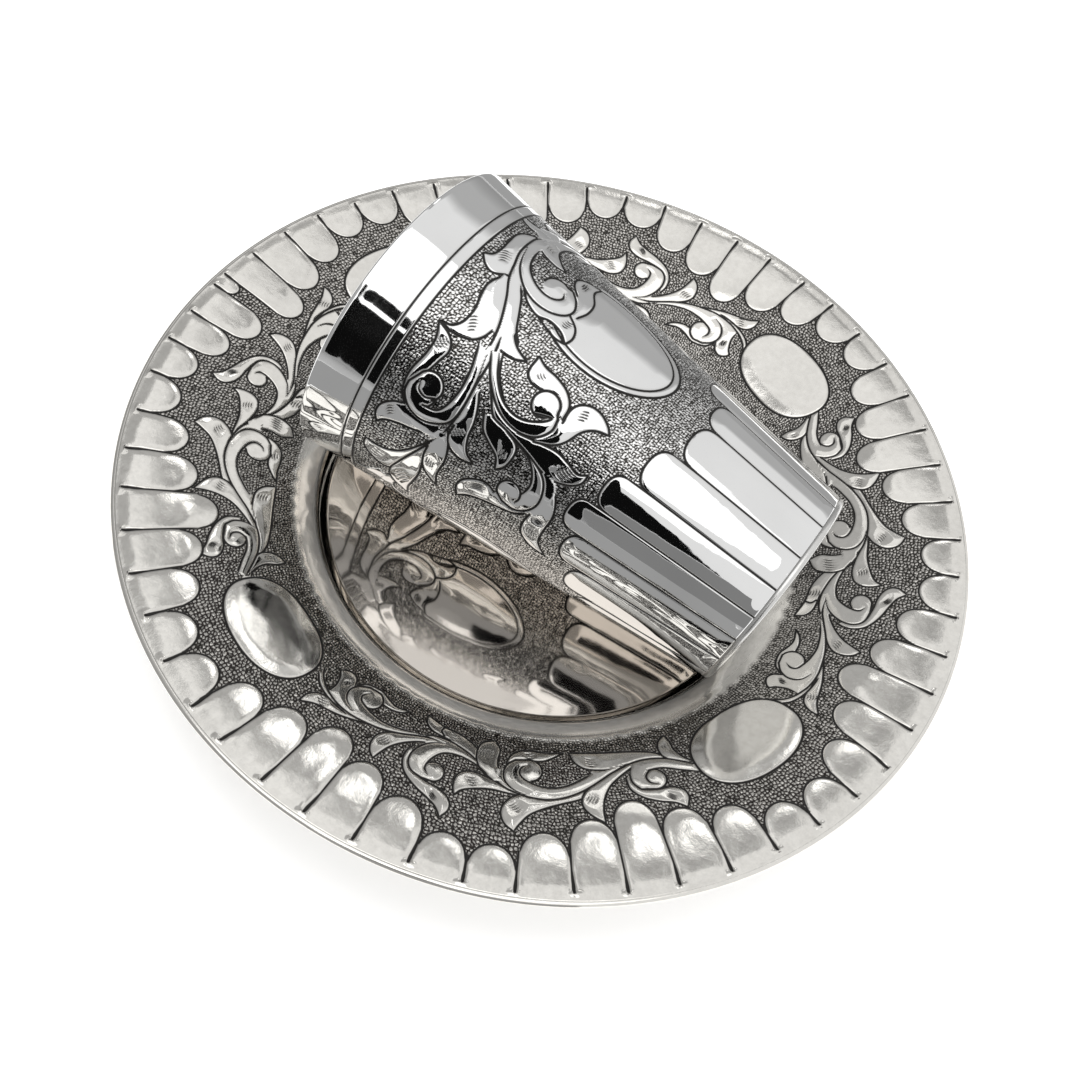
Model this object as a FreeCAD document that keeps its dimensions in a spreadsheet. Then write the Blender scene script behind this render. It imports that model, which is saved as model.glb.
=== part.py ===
import FreeCAD, Part
import os
from math import cos, radians, sin

import Sketcher

# A ceremonial silver plate with its matching beaker lying in the well.
# The plate's axis is the Z axis and its underside stands on Z = 0. The beaker's axis
# lies in a plane parallel to XZ, with its mouth towards -X and slightly raised.

DRIVING_SIZES = [
    # the spun plate, as arcs that turn into one another from the flat floor to the edge
    ("plate_diameter", 160.0),
    ("silver_thickness", 0.9),
    ("cove_arc_radius", 1.2),
    ("cove_turn", 54.58),
    ("shoulder_arc_radius", 14.2),
    ("shoulder_turn", 27.79),
    ("border_arc_radius", 92.0),
    ("border_turn", 20.32),
    # the shaped wire soldered round the plate's edge, flush with the sheet's upper side
    ("rim_width", 0.8),
    ("rim_thickness", 1.4),
    ("rim_bevel", 0.45),
    ("rim_lap", 1.8),
    ("rim_lap_drop", 0.56),
    # the beaker, measured along its own axis from the foot
    ("beaker_length", 83.5),
    ("mouth_radius", 29.32),
    ("foot_radius", 19.55),
    ("beaker_thickness", 0.9),
    ("lip_fillet", 0.4),
    ("foot_edge_height", 1.3),
    ("foot_edge_fillet", 0.6),
    ("spigot_height", 1.2),
    ("foot_recess_depth", 0.5),
    ("foot_recess_radius", 17.0),
    # where the beaker lies: the middle of its foot, and the rise of its axis
    ("beaker_foot_x", 44.92),
    ("beaker_foot_y", 1.18),
    ("beaker_foot_z", 20.95),
    ("beaker_axis_rise", 6.468),
]

NODES_FOLDER = "parts"

doc = FreeCAD.newDocument("offering_plate")
sheet = doc.addObject("Spreadsheet::Sheet", "Sizes")


def fill_sheet():
    for row, (alias, value) in enumerate(DRIVING_SIZES, start=1):
        sheet.set(f"A{row}", alias)
        sheet.set(f"B{row}", str(value))
        sheet.setAlias(f"B{row}", alias)
    doc.recompute()


def size(alias):
    return float(getattr(sheet, alias))


def point(x, y):
    return FreeCAD.Vector(x, y, 0)


def origin_plane(body, role):
    for feature in body.Origin.OriginFeatures:
        if feature.Role == role:
            return feature
    raise RuntimeError(f"{body.Label} has no {role}")


def new_body(label):
    body = doc.addObject("PartDesign::Body", label)
    body.Label = label
    return body


def side_sketch(body, name):
    """A sketch on the body's XZ plane: its x is the radius and its y is the height."""
    sketch = body.newObject("Sketcher::SketchObject", name)
    sketch.AttachmentSupport = [(origin_plane(body, "XZ_Plane"), "")]
    sketch.MapMode = "FlatFace"
    return sketch


def constrain(sketch, *arguments):
    return sketch.addConstraint(Sketcher.Constraint(*arguments))


def drive(sketch, name, expression, *arguments):
    """Adds a named dimension to the sketch and binds it to the sheet."""
    index = constrain(sketch, *arguments)
    sketch.renameConstraint(index, name)
    sketch.setExpression(f"Constraints.{name}", expression)


def revolve(body, sketch, name):
    turn = body.newObject("PartDesign::Revolution", name)
    turn.Profile = sketch
    turn.ReferenceAxis = (sketch, ["V_Axis"])
    turn.Angle = 360.0
    doc.recompute()
    return turn


def closed_outline(sketch, corners):
    """Draws the corners as a closed loop of lines joined end to end."""
    count = len(corners)
    for index in range(count):
        following = corners[(index + 1) % count]
        sketch.addGeometry(Part.LineSegment(point(*corners[index]), point(*following)), False)
    for index in range(count):
        constrain(sketch, "Coincident", index, 2, (index + 1) % count, 1)


def drive_corner(sketch, corner, name, radius_expression, height_expression):
    """Fixes one corner of a closed outline at a radius and a height from the sheet.

    Both are counted as positive numbers, and a corner drawn below the axis stays below.
    An empty expression leaves that direction to the outline's other constraints."""
    place = sketch.Geometry[corner].StartPoint
    if radius_expression:
        drive(sketch, name + "_radius", radius_expression, "DistanceX", -1, 1, corner, 1, place.x)
    if height_expression:
        ends = (corner, 1, -1, 1) if place.y < 0 else (-1, 1, corner, 1)
        drive(sketch, name + "_height", height_expression, "DistanceY", *ends, abs(place.y))


def round_edges_at(shape, radius, height):
    """Names of the full circles of one radius at one height about the Z axis."""
    names = []
    for index, edge in enumerate(shape.Edges, start=1):
        if not isinstance(edge.Curve, Part.Circle):
            continue
        same_radius = abs(edge.Curve.Radius - radius) < 0.01
        if same_radius and abs(edge.Curve.Center.z - height) < 0.01:
            names.append(f"Edge{index}")
    return names


def fillet(body, base, names, radius_alias, label):
    feature = body.newObject("PartDesign::Fillet", label)
    feature.Base = (base, names)
    feature.setExpression("Radius", f"Sizes.{radius_alias}")
    doc.recompute()
    return feature


def domed_or_hollow_arc(centre, radius, start_slope, end_slope, hollow):
    """An arc seen from the side, between two slopes in degrees, counted outwards."""
    circle = Part.Circle(centre, FreeCAD.Vector(0, 0, 1), radius)
    if hollow:
        return Part.ArcOfCircle(circle, radians(270 + start_slope), radians(270 + end_slope))
    return Part.ArcOfCircle(circle, radians(90 + end_slope), radians(90 + start_slope))


def make_plate_dish():
    """One spun sheet: flat floor, tight cove, steep shoulder and a gently domed border.

    Each arc of the upper side has a partner of the same centre below it, so the sheet
    has the same thickness all over. Also gives the height of the sheet's upper edge."""
    body = new_body("plate_dish")
    sketch = side_sketch(body, "DishProfile")
    thick = size("silver_thickness")
    cove = size("cove_arc_radius")
    shoulder = size("shoulder_arc_radius")
    border = size("border_arc_radius")
    wall_slope = size("cove_turn")
    shoulder_slope = wall_slope - size("shoulder_turn")
    edge_slope = shoulder_slope - size("border_turn")
    edge_radius = size("plate_diameter") / 2 - size("rim_width")

    border_x = edge_radius + border * sin(radians(edge_slope))
    shoulder_x = border_x - (border - shoulder) * sin(radians(shoulder_slope))
    cove_x = shoulder_x - (shoulder + cove) * sin(radians(wall_slope))
    cove_z = thick + cove
    shoulder_z = cove_z - (cove + shoulder) * cos(radians(wall_slope))
    border_z = shoulder_z - (border - shoulder) * cos(radians(shoulder_slope))
    centres = [point(cove_x, cove_z), point(shoulder_x, shoulder_z), point(border_x, border_z)]

    def add_side(floor_height, cove_radius, shoulder_radius, border_radius):
        curves = [
            Part.LineSegment(point(0, floor_height), point(cove_x, floor_height)),
            domed_or_hollow_arc(centres[0], cove_radius, 0, wall_slope, True),
            domed_or_hollow_arc(centres[1], shoulder_radius, shoulder_slope, wall_slope, False),
            domed_or_hollow_arc(centres[2], border_radius, edge_slope, shoulder_slope, False),
        ]
        return [sketch.addGeometry(curve, False) for curve in curves]

    upper = add_side(thick, cove, shoulder, border)
    lower = add_side(0, cove + thick, shoulder - thick, border - thick)

    # A curve's ends are numbered 1 and 2 anticlockwise, so the domed arcs start outside.
    inner_end = [1, 1, 2, 2]
    outer_end = [2, 2, 1, 1]
    for side in (upper, lower):
        constrain(sketch, "Horizontal", side[0])
        for number in range(3):
            following = side[number + 1]
            constrain(sketch, "Tangent", side[number], outer_end[number], following, inner_end[number + 1])
    for upper_arc, lower_arc in zip(upper[1:], lower[1:]):
        constrain(sketch, "Coincident", upper_arc, 3, lower_arc, 3)

    axis_line = sketch.addGeometry(Part.LineSegment(point(0, 0), point(0, thick)), False)
    constrain(sketch, "Coincident", axis_line, 1, -1, 1)
    constrain(sketch, "Coincident", lower[0], 1, axis_line, 1)
    constrain(sketch, "Coincident", upper[0], 1, axis_line, 2)
    constrain(sketch, "Vertical", axis_line)
    edge_line = sketch.addGeometry(
        Part.LineSegment(sketch.Geometry[lower[3]].StartPoint, sketch.Geometry[upper[3]].StartPoint), False
    )
    constrain(sketch, "Coincident", edge_line, 1, lower[3], 1)
    constrain(sketch, "Perpendicular", edge_line, 2, upper[3], 1)

    drive(sketch, "thickness", "Sizes.silver_thickness", "DistanceY", axis_line, 1, axis_line, 2, thick)
    for name, arc, radius in (
        ("cove", upper[1], cove),
        ("shoulder", upper[2], shoulder),
        ("border", upper[3], border),
    ):
        turn = radians(size(name + "_turn"))
        drive(sketch, name + "_radius", f"Sizes.{name}_arc_radius", "Radius", arc, radius)
        drive(sketch, name + "_turn", f"Sizes.{name}_turn * 1 deg", "Angle", arc, turn)
    sheet_reach = "Sizes.plate_diameter / 2 - Sizes.rim_width"
    drive(sketch, "edge_radius", sheet_reach, "DistanceX", -1, 1, upper[3], 1, edge_radius)
    revolve(body, sketch, "DishTurn")
    return body, sketch.Geometry[upper[3]].StartPoint.y


def make_rim_wire(dish, edge_height):
    """A bevelled wire that laps under the sheet's edge and butts against it.

    Its outline is drawn down from its top, and the dish is cut out of it, so that the
    two meet face to face."""
    body = new_body("RimOutline")
    sketch = side_sketch(body, "RimProfile")
    outside = size("plate_diameter") / 2
    thick = size("rim_thickness")
    bevel = size("rim_bevel")
    inside = outside - size("rim_lap")
    corners = [
        (inside, -thick),
        (outside - bevel, -thick),
        (outside, bevel - thick),
        (outside, -bevel),
        (outside - bevel, 0),
        (outside - size("rim_width"), 0),
        (inside, -size("rim_lap_drop")),
    ]
    closed_outline(sketch, corners)
    outer = "Sizes.plate_diameter / 2"
    inner = outer + " - Sizes.rim_lap"
    bottom = "Sizes.rim_thickness"
    drive_corner(sketch, 0, "lap_foot", inner, bottom)
    drive_corner(sketch, 1, "lower_bevel_inner", outer + " - Sizes.rim_bevel", bottom)
    drive_corner(sketch, 2, "lower_bevel_outer", outer, bottom + " - Sizes.rim_bevel")
    drive_corner(sketch, 3, "upper_bevel_outer", outer, "Sizes.rim_bevel")
    drive_corner(sketch, 4, "upper_bevel_inner", outer + " - Sizes.rim_bevel", "")
    constrain(sketch, "PointOnObject", 4, 1, -1)
    drive_corner(sketch, 5, "sheet_edge", outer + " - Sizes.rim_width", "")
    constrain(sketch, "PointOnObject", 5, 1, -1)
    drive_corner(sketch, 6, "lap_top", inner, "Sizes.rim_lap_drop")
    revolve(body, sketch, "RimTurn")
    body.Placement.Base = FreeCAD.Vector(0, 0, edge_height)
    wire = doc.addObject("Part::Cut", "rim_wire")
    wire.Label = "rim_wire"
    wire.Base = body
    wire.Tool = dish
    doc.recompute()
    return wire


def beaker_radius(height):
    """Outer radius of the beaker's straight taper at a height above its foot."""
    share = height / size("beaker_length")
    return size("foot_radius") + share * (size("mouth_radius") - size("foot_radius"))


def lay_down(body):
    """Puts an upright beaker piece where it lies, foot towards +X and mouth towards -X."""
    body.setExpression("Placement.Base.x", "Sizes.beaker_foot_x")
    body.setExpression("Placement.Base.y", "Sizes.beaker_foot_y")
    body.setExpression("Placement.Base.z", "Sizes.beaker_foot_z")
    turn = FreeCAD.Rotation(FreeCAD.Vector(0, 1, 0), size("beaker_axis_rise") - 90)
    body.Placement = FreeCAD.Placement(body.Placement.Base, turn)
    doc.recompute()


def make_beaker_wall():
    """The raised cone of sheet, from the top of the foot's edge to the rounded lip."""
    body = new_body("beaker_wall")
    sketch = side_sketch(body, "WallProfile")
    length = size("beaker_length")
    foot = size("foot_edge_height")
    thick = size("beaker_thickness")
    corners = [
        (beaker_radius(foot), foot),
        (beaker_radius(length), length),
        (beaker_radius(length) - thick, length),
        (beaker_radius(foot) - thick, foot),
    ]
    closed_outline(sketch, corners)
    taper = "(Sizes.mouth_radius - Sizes.foot_radius) / Sizes.beaker_length"
    outer_foot = f"Sizes.foot_radius + Sizes.foot_edge_height * {taper}"
    drive_corner(sketch, 0, "outer_foot", outer_foot, "Sizes.foot_edge_height")
    drive_corner(sketch, 1, "outer_lip", "Sizes.mouth_radius", "Sizes.beaker_length")
    drive_corner(sketch, 2, "inner_lip", "Sizes.mouth_radius - Sizes.beaker_thickness", "Sizes.beaker_length")
    drive_corner(sketch, 3, "inner_foot", outer_foot + " - Sizes.beaker_thickness", "Sizes.foot_edge_height")
    turn = revolve(body, sketch, "WallTurn")
    lip_edges = round_edges_at(turn.Shape, beaker_radius(length), length)
    lip_edges += round_edges_at(turn.Shape, beaker_radius(length) - thick, length)
    fillet(body, turn, lip_edges, "lip_fillet", "LipRounding")
    lay_down(body)
    return body


def make_beaker_base():
    """A turned disc: rounded outer edge, spigot inside the wall, shallow recess below."""
    body = new_body("beaker_base")
    sketch = side_sketch(body, "BaseProfile")
    edge = size("foot_edge_height")
    top = edge + size("spigot_height")
    outer = size("foot_radius")
    spigot = beaker_radius(edge) - size("beaker_thickness")
    recess = size("foot_recess_depth")
    recess_radius = size("foot_recess_radius")
    corners = [
        (0, recess),
        (recess_radius, recess),
        (recess_radius, 0),
        (outer, 0),
        (outer, edge),
        (spigot, edge),
        (spigot, top),
        (0, top),
    ]
    closed_outline(sketch, corners)
    taper = "(Sizes.mouth_radius - Sizes.foot_radius) / Sizes.beaker_length"
    spigot_radius = f"Sizes.foot_radius + Sizes.foot_edge_height * {taper} - Sizes.beaker_thickness"
    top_height = "Sizes.foot_edge_height + Sizes.spigot_height"
    constrain(sketch, "PointOnObject", 0, 1, -2)
    drive_corner(sketch, 0, "recess_middle", "", "Sizes.foot_recess_depth")
    drive_corner(sketch, 1, "recess_corner", "Sizes.foot_recess_radius", "Sizes.foot_recess_depth")
    constrain(sketch, "PointOnObject", 2, 1, -1)
    drive_corner(sketch, 2, "recess_mouth", "Sizes.foot_recess_radius", "")
    constrain(sketch, "PointOnObject", 3, 1, -1)
    drive_corner(sketch, 3, "foot", "Sizes.foot_radius", "")
    drive_corner(sketch, 4, "edge_top", "Sizes.foot_radius", "Sizes.foot_edge_height")
    drive_corner(sketch, 5, "spigot_foot", spigot_radius, "Sizes.foot_edge_height")
    drive_corner(sketch, 6, "spigot_top", spigot_radius, top_height)
    constrain(sketch, "PointOnObject", 7, 1, -2)
    drive_corner(sketch, 7, "top_middle", "", top_height)
    turn = revolve(body, sketch, "BaseTurn")
    edges = round_edges_at(turn.Shape, outer, 0) + round_edges_at(turn.Shape, outer, edge)
    fillet(body, turn, edges, "foot_edge_fillet", "EdgeRounding")
    lay_down(body)
    return body


def check(nodes):
    for item in doc.Objects:
        if {"Invalid", "Error"} & set(item.State):
            raise RuntimeError(f"{item.Label} did not compute: {item.State}")
    for node in nodes:
        shape = node.Shape
        if shape.isNull() or not shape.isValid() or len(shape.Solids) != 1:
            raise RuntimeError(f"{node.Label} is not one valid solid")
        print(f"{node.Label}: {shape.Volume:.1f} cubic mm")


def write(nodes):
    os.makedirs(NODES_FOLDER, exist_ok=True)
    for node in nodes:
        node.Shape.exportStep(f"{NODES_FOLDER}/{node.Label}.step")


fill_sheet()
plate_dish, sheet_edge_height = make_plate_dish()
rim_wire = make_rim_wire(plate_dish, sheet_edge_height)
beaker_wall = make_beaker_wall()
beaker_base = make_beaker_base()
doc.recompute()

all_nodes = [plate_dish, rim_wire, beaker_wall, beaker_base]
check(all_nodes)
write(all_nodes)
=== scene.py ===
import math

import bpy
import numpy as np
from mathutils import Matrix


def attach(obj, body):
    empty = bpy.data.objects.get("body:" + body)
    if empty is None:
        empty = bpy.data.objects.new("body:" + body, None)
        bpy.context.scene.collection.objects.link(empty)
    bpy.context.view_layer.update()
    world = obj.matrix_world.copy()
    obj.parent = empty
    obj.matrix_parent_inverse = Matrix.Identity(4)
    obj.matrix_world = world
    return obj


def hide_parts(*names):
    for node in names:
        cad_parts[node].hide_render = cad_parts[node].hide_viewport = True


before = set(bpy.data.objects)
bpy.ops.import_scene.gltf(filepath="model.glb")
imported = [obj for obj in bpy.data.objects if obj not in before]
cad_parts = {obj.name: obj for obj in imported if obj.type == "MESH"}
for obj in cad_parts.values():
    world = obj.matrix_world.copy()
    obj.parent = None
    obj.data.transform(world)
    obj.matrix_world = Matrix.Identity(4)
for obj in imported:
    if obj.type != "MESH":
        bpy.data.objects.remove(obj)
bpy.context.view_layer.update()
rng = np.random.default_rng(7)
MM = 0.001

# ---- plate and beaker sizes, in mm

SHEET = 0.9
FLOOR_TOP = 0.9
RIM_IN = 79.2
COVE, SHOULDER, BORDER = 1.2, 14.2, 92.0
COVE_SLOPE, SHOULDER_SLOPE, EDGE_SLOPE = (math.radians(a) for a in (54.58, 26.79, 6.47))

BORDER_X = RIM_IN + BORDER * math.sin(EDGE_SLOPE)
SHOULDER_X = BORDER_X - (BORDER - SHOULDER) * math.sin(SHOULDER_SLOPE)
COVE_X = SHOULDER_X - (SHOULDER + COVE) * math.sin(COVE_SLOPE)
COVE_Z = FLOOR_TOP + COVE
SHOULDER_Z = COVE_Z - (COVE + SHOULDER) * math.cos(COVE_SLOPE)
BORDER_Z = SHOULDER_Z - (BORDER - SHOULDER) * math.cos(SHOULDER_SLOPE)
COVE_END = COVE_X + COVE * math.sin(COVE_SLOPE)
SHOULDER_END = SHOULDER_X - SHOULDER * math.sin(SHOULDER_SLOPE)
GROOVE_R, CHATTER_R, CHATTER_WAVES = 44.6, 45.6, 54
CHASED_IN, CHASED_OUT = 47.6, 78.7

FOOT_R, MOUTH_R, LENGTH, WALL = 19.55, 29.32, 83.5, 0.9
FOOT_EDGE = 1.3
LOWER_RING, UPPER_RING, CHASED_TOP = 72.6, 74.9, 75.6
RISE = math.radians(6.468)
FOOT_AT = np.array([44.92, 1.18, 20.95])
AXIS = np.array([-math.cos(RISE), 0, math.sin(RISE)])
UPWARD = np.array([math.sin(RISE), 0, math.cos(RISE)])
SIDEWAYS = np.array([0, 1.0, 0])


def plate_top(r):
    """Height of the plate's smooth upper face at a radius, and its slope as an angle."""
    r = np.asarray(r, float)
    z = np.full(r.shape, FLOOR_TOP)
    slope = np.zeros(r.shape)
    for start, middle_r, middle_z, size in ((COVE_X, COVE_X, COVE_Z, -COVE),
                                            (COVE_END, SHOULDER_X, SHOULDER_Z, SHOULDER),
                                            (SHOULDER_END, BORDER_X, BORDER_Z, BORDER)):
        tilt = np.arcsin(np.clip((middle_r - r) / size, -1, 1))
        slope = np.where(r > start, tilt, slope)
        z = np.where(r > start, middle_z + size * np.cos(tilt), z)
    return z, slope


def beaker_radius(h):
    return FOOT_R + (MOUTH_R - FOOT_R) * np.asarray(h, float) / LENGTH


# ---- drawing the chased pattern

LINE = 0.19
FAR = 4.0
FIRST_OVAL = -20.8
FIRST_FLUTE, FLUTE_WAVES = -21.67, 8
FLUTE_TIPS = [71.0, 67.9, 65.3, 62.2, 65.3, 67.9, 71.0]
CARTOUCHE_X, CARTOUCHE_Y = 9.5, 47.8
# Each panel: where its cartouche is, and how many degrees it spreads over.
FRONT_SPREAD, PANELS = 130, ((-120.5, 115), (124.5, 115), (CARTOUCHE_X, 130))
BEAKER_TIPS = [27, 30, 33.3, 36, 33.5, 30.3, 27]
PLATE_GRAINS, BEAKER_GRAINS = 660, 290
STEP_UP, PUFF, SUNK, CUT = 0.05, 0.10, 0.14, 0.15


def ease(t):
    t = np.clip(t, 0, 1)
    return t * t * (3 - 2 * t)


def curve(points, steps=6):
    """A smooth line through the points (Catmull-Rom)."""
    p = np.array(points, float)
    if len(p) < 3:
        return p
    p = np.vstack([2 * p[0] - p[1], p, 2 * p[-1] - p[-2]])
    t = np.linspace(0, 1, steps, endpoint=False)[:, None]
    parts = []
    for a, b, c, d in zip(p, p[1:], p[2:], p[3:]):
        parts.append(0.5 * (2 * b + (c - a) * t + (2 * a - 5 * b + 4 * c - d) * t**2
                            + (3 * b - a - 3 * c + d) * t**3))
    parts.append(p[-2:-1])
    return np.vstack(parts)


def degrees_from(middle, degrees):
    """How far round each is from a middle, -180 to 180."""
    return (degrees - middle + 180) % 360 - 180


def widened(mask, cells):
    """The mask grown by some cells; its second axis goes all the way round."""
    for _ in range(cells):
        grown = mask | np.roll(mask, 1, 1) | np.roll(mask, -1, 1)
        grown[1:] |= mask[:-1]
        grown[:-1] |= mask[1:]
        mask = grown
    return mask


class Canvas:
    """The pattern over a surface: x is degrees around it, y is mm along it.

    ink is the distance in mm from the nearest chased line's edge, below 0 inside the line.
    solid is 1 on smooth silver and 0 on the stippled ground, lump is how far metal is thrown up
    in mm, degree is one degree in mm, and grain, set after the drawing, is how high the ground's
    grains are, 0 to about 1."""

    def __init__(self, rows, degrees, radius_at):
        y, x = np.meshgrid(rows, degrees, indexing="ij")
        self.shape = x.shape
        self.x, self.y = x.ravel(), y.ravel()
        self.degree = radius_at(self.y) * math.pi / 180
        self.radius_at = radius_at
        self.ink = np.full(x.size, FAR)
        self.solid, self.lump = np.zeros(x.size), np.zeros(x.size)
        self.width = LINE

    def scale(self, y):
        """mm in one degree at height y."""
        return float(self.radius_at(y)) * math.pi / 180

    def near(self, line, reach):
        low, high = line.min(0), line.max(0)
        side = reach / self.scale(low[1])
        return np.flatnonzero((self.x > low[0] - side) & (self.x < high[0] + side)
                              & (self.y > low[1] - reach) & (self.y < high[1] + reach))

    def fill(self, line, solid=1):
        """Smooth silver inside a closed outline, over anything drawn there before; with solid 0
        it is ground."""
        line = np.asarray(line, float)
        at = self.near(line, 0)
        x, y = self.x[at], self.y[at]
        inside = np.zeros(at.size, bool)
        for (x0, y0), (x1, y1) in zip(line, np.roll(line, -1, 0)):
            if y0 != y1:
                crossed = (y0 > y) != (y1 > y)
                inside ^= crossed & (x < x0 + (y - y0) * (x1 - x0) / (y1 - y0))
        self.solid[at[inside]] = solid
        self.ink[at[inside]] = FAR

    def settle(self, reach):
        """Give each sliver with a line at only one of its edges to what lies at its other edge;
        reach is how many cells wide it may be on each side of its middle."""
        uncut = self.ink.reshape(self.shape) > 0
        solid = self.solid.reshape(self.shape)
        for level in (1, 0):
            for _ in range(3 * reach):
                own = uncut & ((solid > 0.5) == level)
                other = uncut & ((solid > 0.5) != level)
                thin = own & ~widened(~widened(~own, reach), reach)
                solid[thin & widened(other, 1)] = 1 - level

    def stroke(self, line, start=1.0, end=1.0, width=None, growth=6):
        """A chased line, with its width at the two ends as shares of the full width; growth is
        how fast it widens from them."""
        line = np.asarray(line, float)
        width = width or self.width
        at = self.near(line, 2.5)
        if at.size == 0:
            return
        x, y, degree = self.x[at], self.y[at], self.degree[at]
        count = len(line) - 1
        best = np.full(at.size, FAR)
        for i in range(count):
            ex, ey = (line[i + 1, 0] - line[i, 0]) * degree, line[i + 1, 1] - line[i, 1]
            dx, dy = (x - line[i, 0]) * degree, y - line[i, 1]
            t = np.clip((dx * ex + dy * ey) / np.maximum(ex * ex + ey * ey, 1e-9), 0, 1)
            along = (i + t) / count
            half = width * np.minimum(1, np.minimum(start + growth * along, end + growth * (1 - along)))
            best = np.minimum(best, np.hypot(dx - t * ex, dy - t * ey) - half)
        self.ink[at] = np.minimum(self.ink[at], best)

    def circle(self, eye, radius, start=0, sweep=360):
        angle = np.radians(start + sweep * np.linspace(0, 1, 14))
        return np.stack([eye[0] + radius * np.cos(angle) / self.scale(eye[1]),
                         eye[1] + radius * np.sin(angle)], 1)

    def hatch(self, x, y, direction, count=4, length=2.0, gap=0.46):
        """A row of short tapered strokes side by side; close together they make one dark cut."""
        c, s = math.cos(math.radians(direction)), math.sin(math.radians(direction))
        for i in range(count):
            off = (i - (count - 1) / 2) * gap
            long = length * (1 - 0.25 * abs(2 * i / max(count - 1, 1) - 1))
            slide = 0.25 * off
            points = []
            for t, bow in ((-0.5, 0.0), (0.0, 0.16), (0.5, 0.0)):
                u, v = t * long + slide, off + bow
                points.append((x + (u * c - v * s) / self.scale(y), y + u * s + v * c))
            self.stroke(curve(points, 3), 0.1, 0.1, 0.11, 3)

    def burr(self, x, y, height, size, long):
        """A ridge of metal thrown up beside a cut, standing off the surface."""
        at = self.near(np.array([[x, y]]), 3 * long)
        side, along = (self.x[at] - x) * self.degree[at], self.y[at] - y
        self.lump[at] += height * np.exp(-(side / size) ** 2 - (along / long) ** 2)

    def leaf(self, tip, one, other, hatches=()):
        """A pointed leaf: its two edges from the tip to where they meet the stem, and its hatching."""
        first, second = curve([tip] + one), curve([tip] + other)
        self.fill(np.vstack([first, second[::-1]]))
        self.stroke(first, 0.7, 0.8)
        self.stroke(second, 0.7, 0.8)
        for hatching in hatches:
            self.hatch(*hatching)

    def band(self, top, bottom, inked=3):
        """A stretch of stem between two edges; inked says which of them are cut (1, 2 or both)."""
        first, second = curve(top), curve(bottom)
        self.fill(np.vstack([first, second[::-1]]))
        if inked & 1:
            self.stroke(first, 0.5, 0.5)
        if inked & 2:
            self.stroke(second, 0.5, 0.5)

    def scroll(self, eye, ball, outer, inner, start, sweep):
        """A branch that curls into a ball: its outer edge, its inner edge from the hook back to
        the stem, and the ball's own arc from where the outer edge reaches it."""
        self.fill(np.vstack([curve(outer), curve(inner)]))
        self.fill(self.circle(eye, ball))
        arc = self.circle(eye, ball, start, sweep)
        self.stroke(np.vstack([curve(outer)[:-1], curve(np.vstack([outer[-1], arc[1:]]))]), 0.4, 0.9)
        self.stroke(curve(inner), 0.3, 0.5)


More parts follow.
